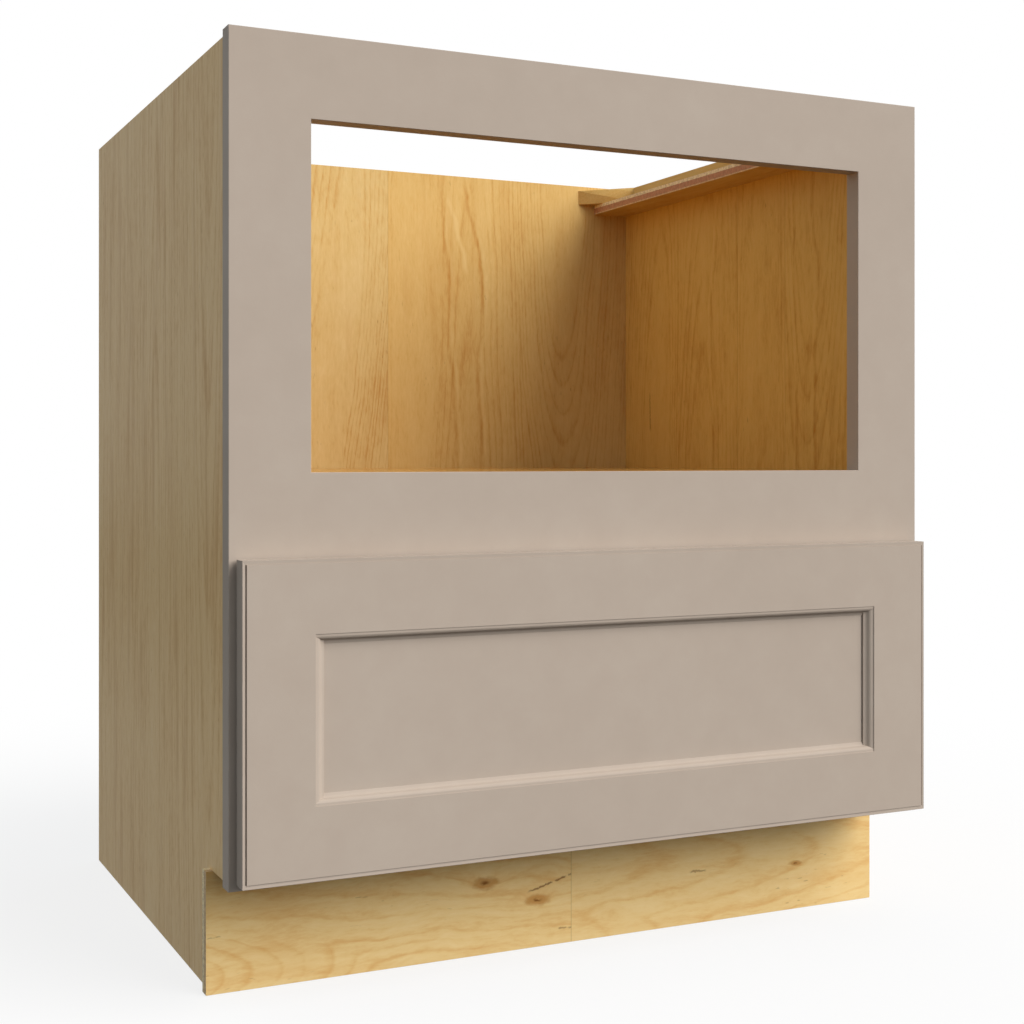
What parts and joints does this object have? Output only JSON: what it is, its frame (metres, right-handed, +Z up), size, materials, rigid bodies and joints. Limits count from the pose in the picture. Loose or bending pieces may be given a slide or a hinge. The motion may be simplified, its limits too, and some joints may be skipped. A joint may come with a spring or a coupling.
{
  "type": "microwave cabinet",
  "caption": "Base cabinet with a framed window and shelf for a microwave above a wide drawer with a recessed-panel front, on a toe space.",
  "frame": {"origin": "on the floor, under the middle of the cabinet's box", "axes": "+Z up, +X to the right seen from the front, +Y to the rear; the drawer opens towards -Y"},
  "size_m": [0.762, 0.6318, 0.8763],
  "materials": {
    "satin_paint": "satin paint on wood",
    "side_veneer": "clear-coated veneer",
    "interior_plywood": "clear-coated maple-faced plywood",
    "toe_veneer": "bare maple veneer",
    "box_maple": "clear-coated solid maple",
    "slide_steel": "zinc-plated",
    "white_nylon": "moulded",
    "grey_plastic": "moulded",
    "soft_rubber": "matt"
  },
  "bodies": {
    "cabinet": {"left_side_panel": "side_veneer", "right_side_panel": "side_veneer", "back_panel": "interior_plywood", "upper_hanging_rail": "interior_plywood", "middle_hanging_rail": "interior_plywood", "lower_hanging_rail": "interior_plywood", "microwave_shelf": "interior_plywood", "bottom_deck": "interior_plywood", "toe_board": "toe_veneer", "left_top_brace": "interior_plywood", "left_top_cleat": "interior_plywood", "front_left_corner_block": "interior_plywood", "rear_left_corner_block": "interior_plywood", "right_top_brace": "interior_plywood", "right_top_cleat": "interior_plywood", "front_right_corner_block": "interior_plywood", "rear_right_corner_block": "interior_plywood", "face_frame_left_stile": "satin_paint", "face_frame_right_stile": "satin_paint", "face_frame_top_rail": "satin_paint", "face_frame_middle_rail": "satin_paint", "face_frame_bottom_rail": "satin_paint", "left_slide_mounting_block": "interior_plywood", "left_slide_cabinet_member": "slide_steel", "right_slide_mounting_block": "interior_plywood", "right_slide_cabinet_member": "slide_steel"},
    "drawer": {"drawer_front_left_stile": "satin_paint", "drawer_front_right_stile": "satin_paint", "drawer_front_top_rail": "satin_paint", "drawer_front_bottom_rail": "satin_paint", "drawer_front_panel": "satin_paint", "bumper_pad_lower_left": "soft_rubber", "bumper_pad_lower_right": "soft_rubber", "bumper_pad_upper_left": "soft_rubber", "bumper_pad_upper_right": "soft_rubber", "drawer_front_screw_upper_left": "slide_steel", "drawer_front_screw_upper_right": "slide_steel", "drawer_front_screw_lower_left": "slide_steel", "drawer_front_screw_lower_right": "slide_steel", "drawer_box_front": "box_maple", "drawer_box_back": "box_maple", "drawer_box_left_side": "box_maple", "drawer_box_right_side": "box_maple", "drawer_box_bottom": "box_maple", "left_locking_device": "grey_plastic", "left_slide_drawer_member": "slide_steel", "right_locking_device": "grey_plastic", "right_slide_drawer_member": "slide_steel"},
    "left_intermediate_member": {"left_slide_intermediate_member": "slide_steel"},
    "left_lower_cage": {"left_slide_lower_cage": "white_nylon"},
    "left_upper_cage": {"left_slide_upper_cage": "white_nylon"},
    "right_intermediate_member": {"right_slide_intermediate_member": "slide_steel"},
    "right_lower_cage": {"right_slide_lower_cage": "white_nylon"},
    "right_upper_cage": {"right_slide_upper_cage": "white_nylon"},
    "left_lever": {"left_release_lever": "grey_plastic"},
    "right_lever": {"right_release_lever": "grey_plastic"}
  },
  "joints": [
    {"name": "drawer_slide", "type": "slide", "parent": "cabinet", "child": "drawer", "axis": [0, -1, 0], "range_m": [0, 0.508]},
    {"name": "left_intermediate_member_slide", "type": "slide", "parent": "cabinet", "child": "left_intermediate_member", "axis": [0, -1, 0], "range_m": [0, 0.254]},
    {"name": "left_lower_cage_slide", "type": "slide", "parent": "cabinet", "child": "left_lower_cage", "axis": [0, -1, 0], "range_m": [0, 0.127]},
    {"name": "left_upper_cage_slide", "type": "slide", "parent": "cabinet", "child": "left_upper_cage", "axis": [0, -1, 0], "range_m": [0, 0.381]},
    {"name": "right_intermediate_member_slide", "type": "slide", "parent": "cabinet", "child": "right_intermediate_member", "axis": [0, -1, 0], "range_m": [0, 0.254]},
    {"name": "right_lower_cage_slide", "type": "slide", "parent": "cabinet", "child": "right_lower_cage", "axis": [0, -1, 0], "range_m": [0, 0.127]},
    {"name": "right_upper_cage_slide", "type": "slide", "parent": "cabinet", "child": "right_upper_cage", "axis": [0, -1, 0], "range_m": [0, 0.381]},
    {"name": "left_lever_pivot", "type": "hinge", "parent": "drawer", "child": "left_lever", "pos_m": [-0.23603, -0.23109, 0.1741], "axis": [0, 0, 1], "range_deg": [0, 8], "stiffness_Nm_per_rad": 0.2},
    {"name": "right_lever_pivot", "type": "hinge", "parent": "drawer", "child": "right_lever", "pos_m": [0.23603, -0.23109, 0.1741], "axis": [0, 0, -1], "range_deg": [0, 8], "stiffness_Nm_per_rad": 0.2}
  ],
  "couplings": [
    {"joint": "left_intermediate_member_slide", "follows": "drawer_slide", "ratio": 0.5},
    {"joint": "left_lower_cage_slide", "follows": "drawer_slide", "ratio": 0.25},
    {"joint": "left_upper_cage_slide", "follows": "drawer_slide", "ratio": 0.75},
    {"joint": "right_intermediate_member_slide", "follows": "drawer_slide", "ratio": 0.5},
    {"joint": "right_lower_cage_slide", "follows": "drawer_slide", "ratio": 0.25},
    {"joint": "right_upper_cage_slide", "follows": "drawer_slide", "ratio": 0.75}
  ]
}
